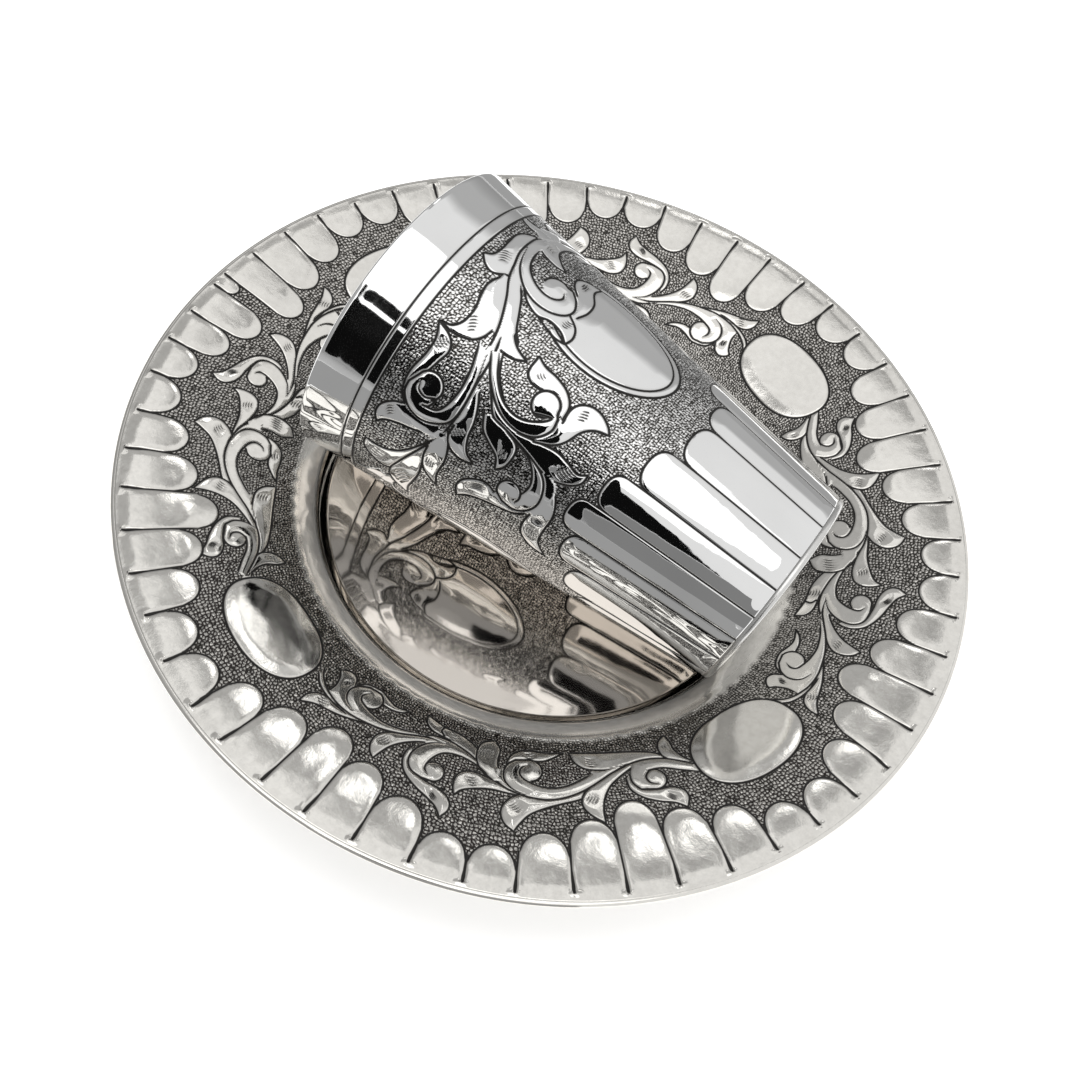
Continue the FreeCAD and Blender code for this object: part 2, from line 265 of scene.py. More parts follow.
def plate_spray(c):
    """One quarter of the plate's band of leaves, between two ovals; x is degrees from the first."""
    c.leaf((12.6, 64.2), [(14.4, 62.7), (16.2, 62), (18.4, 61.3), (21, 60.2), (23, 59.3)], [(12.5, 62.4),
        (13.3, 60.8), (15, 60.1), (18, 59.9)], [(15, 61.2, -20)])
    c.fill(curve([(14.3, 59.2), (14, 57), (13.2, 55.3), (12.2, 54.4), (13, 53.4), (14.2, 53),
        (15.4, 53.4), (16.2, 54.4), (16.6, 57), (18, 59)]))
    c.stroke(curve([(14.2, 58.8), (14, 57), (13.1, 55.3), (12.2, 54.4), (13, 53.4), (14.2, 53),
        (15.5, 53.5), (16.3, 54.8)]), 0.6, 0.6)
    c.hatch(15.1, 55.5, 100, 4, 2.0, 0.24)
    c.leaf((27.8, 52.3), [(26.4, 53.5), (24.5, 54.2), (22.3, 54.3)], [(25, 53), (23, 52.7), (21, 52.1),
        (19, 52.3), (17.4, 53), (16.4, 54.4)])
    c.fill([(28, 57.9), (33.2, 57), (36.8, 55.5), (33.5, 55.2), (31, 56)])
    c.leaf((27.3, 64.2), [(26.2, 63.3), (25.5, 61.8), (25.5, 60), (26.6, 58.5), (28.6, 57.2)],
        [(27.8, 62.3), (28.5, 60.5), (29.8, 58.8), (31.5, 57.4), (33, 56.6)], [(27, 60, -60)])
    c.leaf((30.9, 51), [(31.5, 52.6), (33, 53.6), (35, 53.9), (37, 54)], [(32.6, 51.3), (35, 51.8),
        (38, 52), (40, 52.5), (42, 53.6), (43.3, 55), (44.5, 57)], [(37.3, 52.9, 5)])
    c.stroke(curve([(35.6, 53.6), (34.8, 52.9), (34.9, 52)]))
    c.fill(curve([(36, 54), (40, 54), (43, 55), (45, 57.5), (42, 56.4), (38, 54.8)]))
    c.leaf((39.9, 68.7), [(38.7, 67.1), (37, 66.1), (35.2, 65.3), (33.3, 64.2), (32, 63), (31.2, 61.3),
        (31.1, 59.6), (31.7, 58)], [(40.7, 67.2), (40.6, 65.7), (39.6, 64.5), (38, 63.8), (36, 63.5),
        (33, 62.5), (32, 60)], [(38, 65.5, 40, 4, 2.6, 0.24)])
    c.leaf((40.8, 64.2), [(41.6, 62.8), (43.4, 61.8), (46, 61.1), (49, 61.2), (52, 61.4)], [(40.2, 62.3),
        (40.2, 60.5), (41, 59.2), (42.8, 58.6), (45, 58.9), (47, 59.6), (49, 60.6)], [(42.9, 60.4, -12)])
    c.leaf((50.2, 68), [(48.8, 66.9), (48.1, 65.3), (48.2, 63.6), (49.2, 62), (50.6, 61)], [(51, 66.4),
        (52.3, 64.6), (54.5, 63.2), (57, 62.2), (60, 61.3), (62, 60)], [(50, 63.6, -38)])
    c.fill([(62, 58.9), (66.5, 58.2), (69.6, 56.8), (71, 55.7), (69, 55.4), (64, 57.6)])
    c.leaf((63, 66), [(61.3, 64.5), (60.3, 63.1), (60.1, 61.6), (60.8, 60), (62.5, 58.4)], [(63.1, 63.6),
        (63.7, 61.3), (65, 59.2), (67, 57.6), (69.5, 56.2)], [(61.6, 61.4, -55)])
    c.leaf((59.2, 51.8), [(59.8, 53.7), (61.2, 55.1), (63.2, 55.7), (66, 55.9), (69, 55.4)],
        [(61.5, 51.9), (65, 52.2), (69, 52.7), (72, 53.4), (74.3, 54.4), (76, 56)], [(62.6, 54, 15)])
    c.leaf((74.9, 66), [(73.5, 64.6), (71.4, 63.6), (69.3, 62.2), (67.9, 60.3), (67.8, 58)],
        [(75.8, 64.2), (75.5, 62.6), (74, 61.6), (72, 61.4), (69.4, 60.6), (68.7, 58)],
        [(73.6, 63.3, 45, 4, 2.2, 0.24)])
    c.leaf((77.8, 51.6), [(76.3, 52.3), (75.4, 53.6), (75.3, 55.3), (76.2, 56.8)], [(78, 53.2),
        (77.8, 55), (78.4, 56.8), (79.4, 58.2)], [(76.6, 53.9, 105, 2, 1.4)])
    c.band([(31, 56.2), (36.5, 55.4), (40.5, 56.5), (43, 57.2), (45, 58.3), (47, 59.4)], [(31, 56),
        (34, 54.5), (37, 54.2), (40, 54.9), (42, 55.8), (44, 57), (46, 58.5)], 2)
    c.band([(44, 57), (46, 58.5), (47.5, 59.8), (49.5, 60.7), (52, 61.3), (55, 61.5), (57.5, 61),
        (60, 60), (62, 58.9), (64, 57.7), (66, 56.6), (69, 55.6)], [(44, 57), (46.5, 57.5), (48, 58.6),
        (50, 58), (53.3, 58.8), (55.5, 59.2), (58, 58.7), (60.5, 57.5), (62.5, 56.5), (66, 55.8),
        (69, 55.4)], 1)
    c.leaf((45.2, 50.9), [(43, 52), (42.3, 54), (42.7, 56.2), (43.9, 57.9), (46, 59.2)], [(46.4, 52.8),
        (46.3, 55), (46.8, 57), (48.3, 59)], [(44.2, 54.4, 95, 5, 2.6, 0.5)])
    c.fill(curve([(44.4, 57.2), (46.6, 58.3), (49, 59.9), (51, 60.4), (49, 57.6), (46.8, 56.6)]))
    c.leaf((58.3, 51.8), [(55.8, 53.2), (54, 53.9), (51.5, 53.9)], [(55.5, 52), (52.5, 51.8),
        (50.2, 52.1), (48.6, 53.3), (47.8, 55.2)], [(51.8, 52.9, -10, 3)])
    c.band([(10.3, 57.7), (12, 59.1), (14.3, 59.9), (17, 60.2), (19.2, 60.2)], [(10.1, 56.2),
        (11.6, 57.8), (13.8, 59), (16.5, 59.6), (19.2, 59.7)])
    c.fill(curve([(14, 59.1), (16.5, 59.7), (19.5, 59.8), (22, 59.4), (25, 58.7), (28, 57.6), (31, 56.2),
        (32.5, 55.2), (28, 56.6), (24, 57.2), (20.5, 56.8), (18, 57)]))
    c.stroke(curve([(13.8, 59), (16.5, 59.7), (19.5, 59.8), (22, 59.4), (25, 58.7), (28, 57.6),
        (31, 56.2), (33.5, 55.3), (36.8, 55.1)]), 0.7, 0.2)
    c.scroll((20.4, 54.75), 2.05, [(19.3, 58.8), (17.6, 58.1), (16.6, 57), (16.3, 55.6), (17, 54.1),
        (18.5, 53)], [(19.3, 54), (18.7, 55.2), (19.2, 56.2), (20.8, 56.75), (22.5, 57.1), (25, 57.2),
        (28, 56.6), (31, 55.6)], 258, 185)
    c.scroll((36.6, 61.25), 1.85, [(36.5, 55.1), (34.3, 56), (32.8, 57.5), (32, 59.5), (32.2, 61.4),
        (33.3, 62.7), (35.2, 63.2)], [(35.9, 62.1), (35.1, 61.3), (35.1, 60), (35.7, 58.4), (36.8, 57.1),
        (38.5, 56.5), (40.6, 56.5), (43, 57.2), (45, 58.3)], 95, -230)
    c.scroll((51.9, 56), 2.2, [(51.6, 61), (49.6, 60.3), (48.1, 59), (47.6, 57.2), (48.1, 55.4),
        (49.4, 54.2)], [(51.6, 55), (50.6, 55.6), (50.3, 56.9), (51.2, 58), (53.3, 58.9), (55.5, 59.2),
        (58, 58.7), (60.5, 57.5), (62.5, 56.4)], 243, 195)
    c.band([(69, 55.6), (72.4, 57.5), (76.8, 59.2), (79.3, 60.6)], [(66, 56.5), (69, 55.5), (72, 55.2),
        (75, 55.9), (77.5, 57.4), (79.7, 59.2)], 2)
    c.scroll((72.2, 59.4), 1.95, [(69.9, 55.6), (68.8, 57.2), (68.6, 59.1), (69.5, 60.7)], [(72.5, 60.4),
        (71.3, 59.8), (71.1, 58.5), (72.3, 57.5), (74.5, 57.8), (76.8, 59.1), (79.4, 60.6)], 135, -235)


def plate_oval(c):
    """A smooth slightly domed oval; x is degrees from its centre."""
    half_turn, half_height, middle, power = 10.3, 7.0, 59.2, 2 / 2.3
    turn = np.radians(np.arange(0, 360, 6))
    x = half_turn * np.sign(np.cos(turn)) * np.abs(np.cos(turn)) ** power
    y = middle + half_height * np.sign(np.sin(turn)) * np.abs(np.sin(turn)) ** power
    outline = np.stack([x, y], 1)
    c.fill(outline)
    c.stroke(np.vstack([outline, outline[:1]]), width=0.22)


def flute(c, left, right, tip, left_tip, right_tip, far_end, grow, squat=1.0):
    """One smooth flute: cut dividers at its sides and a round end. tip is where the round end
    lies, left_tip and right_tip those of its neighbours; grow is +1 where flutes run towards
    larger y and -1 where they run towards smaller y; squat flattens the round end."""
    middle = (left + right) / 2
    half = (right - left) / 2 * c.scale(tip + grow * 2.5)
    centre = tip + grow * half * squat
    angle = np.radians(np.linspace(0, 180, 17))
    inset = 0.965
    bend = 1 if squat == 1 else 0.85
    x = middle + half * inset * np.sign(np.cos(angle)) * np.abs(np.cos(angle)) ** bend / c.scale(centre)
    y = centre - grow * half * squat * np.sin(angle) ** bend
    round_end = np.stack([x, y], 1)
    c.fill([[right, far_end], [right, centre]] + round_end.tolist() + [[left, centre], [left, far_end]])
    reach_right = max(centre, right_tip + grow * half, key=lambda v: v * grow) + grow * 1.2
    reach_left = max(centre, left_tip + grow * half, key=lambda v: v * grow) + grow * 1.2
    side_right = middle + inset * (right - left) / 2
    side_left = middle - inset * (right - left) / 2
    c.stroke([[side_right, reach_right], [side_right, centre]] + round_end[1:-1].tolist()
             + [[side_left, centre], [side_left, reach_left]], 0.25, 0.25)


def plate_flutes(c):
    """The ring of flutes round the border, in eight waves of seven; one wave holds an eighth."""
    dividers, tips = [], []
    turn = 360 / FLUTE_WAVES
    for wave in range(FLUTE_WAVES):
        heights = list(FLUTE_TIPS)
        edges = [turn / 7 * i for i in range(7)]
        if wave == 4:
            heights.insert(4, 73.7)
            edges = [0, 6.3, 12.6, 18.9, 24.8, 27.2, 33, 39]
        dividers += [turn * wave + FIRST_FLUTE + edge for edge in edges]
        tips += heights
    count = len(dividers)
    wobble = rng.normal(0, 0.16, count)
    dividers = [d + w for d, w in zip(dividers, wobble)]
    tips = [t + w for t, w in zip(tips, rng.normal(0, 0.22, count))]
    base = c.x.copy()
    for i in range(count):
        left, right = dividers[i], dividers[(i + 1) % count] + (360 if i + 1 == count else 0)
        middle = (left + right) / 2
        c.x = degrees_from(middle, base)
        flute(c, left - middle, right - middle, tips[i], tips[i - 1], tips[(i + 1) % count], 78.6, 1)
    for i in range(count):
        start = min(tips[i], tips[i - 1]) + 3.2
        c.x = degrees_from(dividers[i], base)
        lean = rng.normal(0, 0.14)
        end = 78.0 + rng.normal(0, 0.22)
        c.stroke(curve([(0, start), (0, 74), (0, 76), (lean, end)]), 0.5, 0.5, 0.18)
        c.stroke([(0, end - 5), (lean, end)], 0.1, 0.7, 0.38, 0.9)
        c.burr(lean + rng.normal(0, 0.2), end + 0.25, 0.14 + 0.07 * rng.random(), 1.0, 0.38)
        side = 0.5 if rng.random() > 0.4 else -0.5
        c.burr(lean + side, end - 0.9, 0.06 * rng.random(), 0.4, 1.1)
    c.x = base


def draw_plate(c):
    """The plate's whole pattern; c.x is the angle in degrees, c.y the radius. The leaves sway a
    little in each quarter, so that no two are copies."""
    base, climb = c.x.copy(), c.y.copy()
    for quarter in range(4):
        local = degrees_from(FIRST_OVAL + 90 * quarter, base)
        sway = np.sin(np.radians(local * 4 + 80 * quarter)) * ease(local / 10) * ease((90 - local) / 10)
        drift = np.sin(np.radians(local * 5 + 130 * quarter)) * ease(local / 14) * ease((90 - local) / 14)
        c.x = local + 0.7 * sway
        c.y = climb + 0.3 * drift
        plate_spray(c)
    c.y = climb
    for quarter in range(4):
        c.x = degrees_from(FIRST_OVAL + 90 * quarter, base)
        plate_oval(c)
    c.x = base
    plate_flutes(c)
    c.settle(2)
    ragged = 0.3 * np.sin(np.radians(c.x * 97)) * np.sin(np.radians(c.x * 7))
    worn = 49.4 + 0.6 * np.cos(np.radians(c.x + 50)) + ragged - c.y
    c.solid = np.maximum(c.solid, ease(worn / 1.3))
    c.solid[c.y > 78.5] = 1


def beaker_spray(c):
    """One panel of the beaker's leaves, between two cartouches; x is degrees around the beaker
    with this panel's own cartouche at CARTOUCHE_X and the next one FRONT_SPREAD before it."""
    turn = np.radians(np.arange(0, 361, 6))
    for half_turn, half_height, width in ((22, 14, 0.24), (19.5, 12.6, 0.2)):
        ring = np.stack([CARTOUCHE_X + half_turn * np.cos(turn),
                         CARTOUCHE_Y + half_height * np.sin(turn)], 1)
        c.fill(ring)
        c.stroke(ring, width=width)
    c.fill([(-14, 55), (-14, 64), (34, 64), (34, 55), (25, 55), (14, 57), (2, 56)], 0)
    c.leaf((-83.5, 70.9), [(-88, 70.7), (-91.5, 69), (-93.2, 66.8), (-92, 65.2)], [(-83.8, 68.5),
        (-82, 66), (-78, 63.8), (-72, 61.8), (-65, 59.8)], [(-87.6, 68.2, 80, 4, 3.0, 0.7)])
    c.leaf((-104, 61.3), [(-101, 63.6), (-97, 65), (-92, 65.2), (-86, 64.2), (-80, 63), (-70, 60.8),
        (-63, 59.4)], [(-98, 61.3), (-92, 60.7), (-85, 60.1), (-78, 60.3), (-72, 60.6)],
        [(-93, 62.8, -35, 4, 2.8, 0.7)])
    c.leaf((-85.5, 56.6), [(-83, 58.6), (-80, 60), (-75, 60.6), (-70, 60.6)], [(-80, 57.2), (-72, 57),
        (-66, 57.6), (-60, 59)], [(-76.5, 59, 5, 4, 2.4, 0.42)])
    c.leaf((-73.5, 70.1), [(-70, 70.9), (-66, 70.6), (-62.5, 69), (-60.8, 67)], [(-71, 69), (-69, 66.6),
        (-67.5, 63.6), (-64.8, 60.9)], [(-66.2, 68.8, -50, 4, 1.8, 0.46)])
    c.fill(curve([(-62, 67.5), (-60.8, 67), (-62.3, 64), (-61, 61.2), (-63, 60), (-66, 61.5),
        (-66.5, 64.5)]))
    c.leaf((-30.6, 69.9), [(-36, 68.7), (-42, 68.6), (-50, 69.2), (-57, 68.7), (-61, 67.2)], [(-32, 67.6),
        (-34.2, 66.2), (-37.4, 65.7), (-41, 66.1), (-45.4, 66.6), (-50, 67.4)],
        [(-36, 67.4, 70, 5, 2.2, 0.5)])
    c.leaf((-66, 52.6), [(-67.2, 55), (-65.6, 57.3), (-62, 58.5), (-57, 58.5)], [(-63.5, 54.5),
        (-58, 55.6), (-52, 56), (-46, 57), (-40, 58.6)], [(-58.5, 57.4, 60, 5, 1.6, 0.5)])
    c.leaf((-62.8, 49.2), [(-58, 50.2), (-55, 52.4), (-52, 54.3), (-46, 55.8)], [(-59, 48), (-53, 47.8),
        (-49.5, 48.6), (-47.5, 51)], [(-55.5, 49.4, 10, 3, 2.4)])
    c.leaf((-30.3, 69.8), [(-31, 67), (-29.3, 64.2), (-26, 62.8), (-21.5, 62.2)], [(-29.2, 67.9),
        (-25.5, 66.8), (-20, 66.7), (-15, 67.4), (-10, 67.8), (-5, 67.1), (-2, 66.2)],
        [(-24.6, 65.4, -50, 5, 2.0, 0.55)])
    c.leaf((-2, 71.9), [(-4.9, 70.3), (-5.6, 68.5), (-2.6, 66.6)], [(0.5, 70.6), (5, 70.3), (10, 70.5),
        (15, 70.6), (19, 69.9), (22.5, 68.4)], [(2.8, 69.1, -55, 5, 2.0, 0.5)])
    c.leaf((-23.2, 55), [(-25.6, 57), (-26, 59.3), (-24.2, 61.2), (-20, 62.4)], [(-21.4, 57.5),
        (-18, 59.3), (-12, 61), (-7, 62.5)], [(-20.4, 60.6, 20, 4, 2.0)])
    c.leaf((28.5, 73.8), [(25.5, 72.4), (24.3, 70.5), (25.5, 68.5)], [(28.5, 71), (31, 69), (34, 67.6)])
    c.leaf((18, 60.4), [(16.6, 62.4), (17.4, 65.4), (20.5, 67.3), (24, 67.7), (30, 66.8), (38, 64.8),
        (46, 63)], [(20, 61.9), (24, 63.6), (29, 63.9), (35, 63.3), (42, 61.6)],
        [(22.8, 65.4, 5, 4, 1.7, 0.55)])
    c.fill([(-23, 61.5), (-20, 63.6), (-10, 66.8), (-3, 67), (-3, 65), (-12, 62)])
    c.fill([(-67, 60.6), (-63, 63.8), (-60.5, 62), (-62, 58.8)])
    c.fill([(23.5, 67.8), (25.5, 69.6), (30, 69.6), (37, 67), (34, 65.8), (28, 66.6)])
    c.band([(24, 67.7), (20, 68.2), (10, 68), (3, 67), (-3, 66), (-10, 64), (-20, 61.9), (-30, 61),
        (-38, 61.2), (-45, 60.8)], [(24, 66), (12, 65.8), (4, 65), (-2, 63.6), (-6, 62.3), (-11, 60.9),
        (-17, 59.4), (-24, 59.6), (-30, 58.9), (-42, 58.2), (-54, 58.8), (-60, 59.2)], 1)
    c.stroke(curve([(-2, 63.9), (-6, 62.3), (-11, 60.9), (-17, 59.3), (-20.5, 57.6)]), 0.3, 0.5)
    c.band([(-28, 61.2), (-34, 61), (-40, 60.6), (-45, 60.6)], [(-22, 60.6), (-30, 59.6), (-40, 59.2),
        (-50, 58.8), (-57, 59), (-62, 59.4)], 2)
    c.scroll((-50.5, 65.3), 2.45, [(-30, 60.6), (-40, 59.4), (-50, 58.9), (-57, 59.4), (-61, 61.5),
        (-62.6, 64), (-61, 66.5), (-57, 68.2), (-53, 68.5)], [(-50.5, 66.8), (-53.4, 66.4), (-54.6, 64.9),
        (-53, 63.2), (-56.6, 63.6), (-57.5, 64.6), (-56.3, 62.3), (-52, 61.2), (-45, 60.8), (-38, 61.2),
        (-32, 62.1), (-27, 63)], 95, -235)
    c.band([(-28, 60.4), (-34, 58.6), (-41, 56), (-46, 54), (-47.2, 51), (-47.5, 48)], [(-26, 58.8),
        (-33, 57), (-38.5, 54.5), (-42.5, 52), (-44.5, 49), (-45, 46.5)])
    c.leaf((-43, 36.2), [(-47.5, 36.4), (-51, 38), (-53, 40.6), (-52.3, 43), (-50, 46), (-47.8, 50),
        (-46.3, 54)], [(-45.2, 37.8), (-43.8, 40), (-42.8, 42.6), (-44.2, 46), (-45.8, 49.4)],
        [(-48, 39.2, 75, 5, 3.0, 0.5)])
    c.leaf((-87.5, 34.8), [(-86.5, 38), (-82, 40.4), (-75, 40.8), (-68, 40.2)], [(-82, 36.9), (-75, 37.2),
        (-66, 37.1), (-59, 38.2), (-55.5, 39.6), (-53, 41.4)], [(-78.8, 38.8, 10, 4, 2.4, 0.46),
        (-71.6, 38.7, 90, 4, 2.2, 0.24)])
    c.fill(curve([(-70, 41), (-70, 39.5), (-56, 39), (-52, 42), (-56, 43)]))
    c.leaf((-83.8, 52.8), [(-79, 53.5), (-74.5, 52.9), (-71, 51), (-69.9, 49), (-71.5, 47.4)],
        [(-80.4, 51), (-78.3, 48.5), (-77, 46), (-75.4, 43.2), (-72, 41.2)],
        [(-74, 50.3, -65, 4, 3.4, 0.32)])
    c.scroll((-67.5, 45.4), 2.05, [(-48.6, 48.6), (-50.5, 45.4), (-53.6, 42.4), (-58, 40.9),
        (-64.5, 40.3), (-70, 41.2), (-73.4, 43.2), (-73, 45.6)], [(-66, 43.4), (-60, 43), (-55, 43.9),
        (-51, 45.8), (-48.4, 49.5)], 160, -280)
    c.leaf((-26, 37.3), [(-23.4, 38.4), (-21.2, 40.4), (-21.3, 42.5), (-24, 44.2), (-28, 44.8),
        (-33, 44.5)], [(-27.8, 39.6), (-31.5, 41.2), (-38, 42.3), (-42, 43.8), (-45, 46.5)],
        [(-26.3, 42.4, -70, 4, 1.9, 0.5)])
    c.leaf((-18.7, 54), [(-25, 53.9), (-27.6, 53), (-28.4, 51.2), (-26.9, 49)], [(-20.4, 52),
        (-20.8, 49.6), (-22.6, 47), (-26.5, 45.2), (-32, 44.8)], [(-24, 51.6, 60, 3, 1.8)])
    c.scroll((-31.5, 48.3), 2.35, [(-28.5, 60.2), (-36, 57.8), (-43, 54), (-45.4, 50), (-43.4, 46.8),
        (-38, 45.2), (-33, 45.4)], [(-33.5, 46.2), (-36, 47.7), (-36.4, 49), (-34, 46.4), (-37, 47.2),
        (-40.4, 49.6), (-41, 52), (-39, 54.5), (-34, 57), (-27, 59.2)], -110, 290)
    c.leaf((-9, 52.1), [(-6.2, 54), (-5.6, 56.4), (-7.3, 58.6), (-5.6, 61.2), (-2.4, 63)], [(-5, 51.8),
        (-1, 52.6), (1.6, 54.4), (2.6, 55.6), (-1, 58), (-3, 61)], [(-1.8, 54, 95, 4, 2.0, 0.42)])
    c.stroke(curve([(-9, 52.1), (-9.6, 54.4), (-7.3, 58.6)]), 0.6, 0.5)
    c.leaf((26, 54.4), [(23.4, 57), (19.4, 58.3), (15.4, 57.8), (12, 56.2)], [(20.5, 54.7), (14.5, 53.2),
        (8.5, 52.9), (3, 53.6)], [(19.3, 56.4, 0, 4, 3, 0.3)])
    c.scroll((7, 59.2), 2.5, [(14, 67.8), (8, 67), (3, 65.8), (-1.6, 63.4), (-3.7, 60.4), (-2.8, 57.4),
        (0.4, 55.3), (4.6, 54.7), (9, 55.6), (12.2, 57.2)], [(8.6, 58), (5.5, 57.5), (2.6, 58.6),
        (1.8, 60.6), (3.2, 62.8), (6.4, 64.7), (11, 65.7), (17, 66.1)], -35, 130)


def draw_beaker(c):
    """The beaker's whole pattern; c.x is the angle around it in degrees, c.y the height. The two
    hidden panels sway a little, so that they are no copies of the front one."""
    base, climb = c.x.copy(), c.y.copy()
    c.width = 0.22
    for axis, spread in PANELS:
        local = (base - axis + 250) % 360 - 250
        sway = 0 if spread == FRONT_SPREAD else 1
        c.x = local * FRONT_SPREAD / spread + CARTOUCHE_X + sway * 1.2 * np.sin(np.radians(local * 6))
        c.y = climb + sway * 0.35 * np.sin(np.radians(local * 5 + axis))
        beaker_spray(c)
    c.y = climb
    tips = BEAKER_TIPS
    for axis, spread in PANELS:
        edges = [0.0]
        for i in range(7):
            edges.append(edges[-1] - 1 - 0.17 * math.cos(2 * math.pi * (i + 0.5) / 7))
        edges = [axis - 3.4 + e * spread / -edges[-1] for e in edges]
        for i in range(7):
            right, left = edges[i], edges[i + 1]
            middle = (left + right) / 2
            c.x = degrees_from(middle, base)
            flute(c, left - middle, right - middle, tips[i], tips[min(i + 1, 6)], tips[max(i - 1, 0)],
                  0.2, -1, 0.72)
        for i in range(7):
            c.x = degrees_from(edges[i], base)
            top = max(tips[i], tips[i - 1]) - 3
            c.stroke([(0, top), (0, 14), (0, 0.9)], 0.4, 1.0, 0.17)
    c.x = base
    c.settle(2)
    c.solid[c.y > LOWER_RING] = 1
    c.ink[c.y > LOWER_RING] = FAR
    for ring, half in ((LOWER_RING, 0.2), (UPPER_RING, 0.17)):
        c.ink = np.minimum(c.ink, np.abs(c.y - ring) - half)


# ---- surfaces


def pebbles(turn, climb, around, roundness):
    """Packed grains over a surface: 0 between grains and up to 1 on top of the tallest. turn is in
    degrees, climb in the same angular measure, around is how many grains go round and roundness
    how domed they are, from 0, flat-topped, to 1."""
    u, v = turn.ravel() * around / 360 % around, climb.ravel() * around / (2 * math.pi)
    v = v - v.min() + 1
    rows = int(v.max()) + 3
    jitter = rng.random((around, rows, 2)) * 0.76 + 0.12
    tallness = rng.uniform(0.7, 1.1, (around, rows))
    iu, iv = np.floor(u).astype(int), np.floor(v).astype(int)
    first = np.full(u.size, 9.0)
    second = np.full(u.size, 9.0)
    tall = np.ones(u.size)
    for a in (-1, 0, 1):
        for b in (-1, 0, 1):
            ju, jv = iu + a, iv + b
            spot = jitter[ju % around, jv]
            d = np.hypot(ju + spot[:, 0] - u, jv + spot[:, 1] - v)
            second = np.minimum(second, np.maximum(first, d))
            tall = np.where(d < first, tallness[ju % around, jv], tall)
            first = np.minimum(first, d)
    return ease((second - first) / roundness) * tall


def swell(turn, climb, size, radius):
    """Soft hand-worked unevenness, -1 to 1, with bumps of about the given size in mm."""
    around = max(4, int(2 * math.pi * radius / size))
    u, v = turn.ravel() * around / 360 % around, (climb.ravel() - climb.min()) / size
    rows = int(v.max()) + 3
    heights = rng.uniform(-1, 1, (around, rows))
    iu, iv = np.floor(u).astype(int) % around, np.floor(v).astype(int)
    tu, tv = ease(u - np.floor(u)), ease(v - np.floor(v))
    ju = (iu + 1) % around
    low = heights[iu, iv] * (1 - tu) + heights[ju, iv] * tu
    high = heights[iu, iv + 1] * (1 - tu) + heights[ju, iv + 1] * tu
    return low * (1 - tv) + high * tv


def relief(c, dome, ground, coarseness, waves, puff=1.0):
    """How far the surface stands off its smooth shape, in mm: smooth silver steps up beside a line
    and swells towards its middle, the ground lies sunk under its grains, and a line is cut in."""
    above = np.maximum(c.ink, 0)
    raised = dome * (STEP_UP * (1 - np.exp(-above / 0.4)) + puff * PUFF * ease(above / 2.7)
                     + waves * ease(above / 1.2))
    sunk = ground * (-SUNK * ease(above / 0.25) + coarseness * c.grain * ease(above / 0.3))
    cut = -CUT * ease((0.04 - c.ink) / 0.2)
    return raised * c.solid + sunk * (1 - c.solid) + cut + c.lump


def show(name, data):
    obj = bpy.data.objects.new(name, data)
    bpy.context.scene.collection.objects.link(obj)
    return obj


def loft(name, rings, closed=False, attributes=None):
    """A mesh through rings of points, each an array of shape (n, 3) in mm; n may change by a
    whole multiple from one ring to the next, and a ring of one point closes an end."""
    sizes = [len(r) for r in rings]
    starts = np.concatenate([[0], np.cumsum(sizes)])
    pairs = list(range(len(rings) - 1)) + ([len(rings) - 1] if closed else [])
    tris = []
    for i in pairs:
        j = (i + 1) % len(rings)
        na, nb = sizes[i], sizes[j]
        big = max(na, nb)
        k = np.arange(big)
        if na == nb:
            a0, a1 = starts[i] + k, starts[i] + (k + 1) % na
            b0, b1 = starts[j] + k, starts[j] + (k + 1) % nb
            tris += [np.stack([a0, b0, b1], 1), np.stack([a0, b1, a1], 1)]
            continue
        fine, coarse = (i, j) if na > nb else (j, i)
        step = big // min(na, nb)
        f0, f1 = starts[fine] + k, starts[fine] + (k + 1) % big
        small = sizes[coarse]
        hub = starts[coarse] + (k // step + (k % step >= step // 2)) % small
        tris.append(np.stack([f0, f1, hub] if na < nb else [f0, hub, f1], 1))
        if small > 1:
            s = np.arange(small)
            c0, c1 = starts[coarse] + s, starts[coarse] + (s + 1) % small
            middle = starts[fine] + s * step + step // 2
            tris.append(np.stack([c0, middle, c1] if na < nb else [c0, c1, middle], 1))
    points = np.vstack(rings) * MM
    corners = np.vstack(tris).astype(np.int32)
    mesh = bpy.data.meshes.new(name)
    mesh.vertices.add(len(points))
    mesh.vertices.foreach_set("co", points.ravel())
    mesh.loops.add(corners.size)
    mesh.loops.foreach_set("vertex_index", corners.ravel())
    mesh.polygons.add(len(corners))
    mesh.polygons.foreach_set("loop_start", np.arange(0, corners.size, 3, dtype=np.int32))
    mesh.polygons.foreach_set("use_smooth", np.ones(len(corners), bool))
    for key, (fallback, at, values) in (attributes or {}).items():
        data = np.full(len(points), fallback, np.float32)
        data[starts[at]:starts[at] + len(values)] = values
        mesh.attributes.new(key, "FLOAT", "POINT").data.foreach_set("value", data)
    mesh.update(calc_edges=True)
    mesh.validate()
    return show(name, mesh)


def circles(section, count):
    """Rings of points round the z axis, one for each (radius, height) of a section."""
    turn = 2 * math.pi * np.arange(count) / count
    return [np.stack([r * np.cos(turn), r * np.sin(turn), np.full(count, float(z))], 1)
            for r, z in section]


def arc(r, z, size, start, end, count):
    """Points of a section on an arc round (r, z); its angles are in degrees."""
    turns = np.radians(np.linspace(start, end, count))
    return [(r + size * math.cos(a), z + size * math.sin(a)) for a in turns]


def on_beaker(points):
    """Upright beaker coordinates to where the beaker lies."""
    return FOOT_AT + points[:, :1] * UPWARD + points[:, 1:2] * SIDEWAYS + points[:, 2:] * AXIS


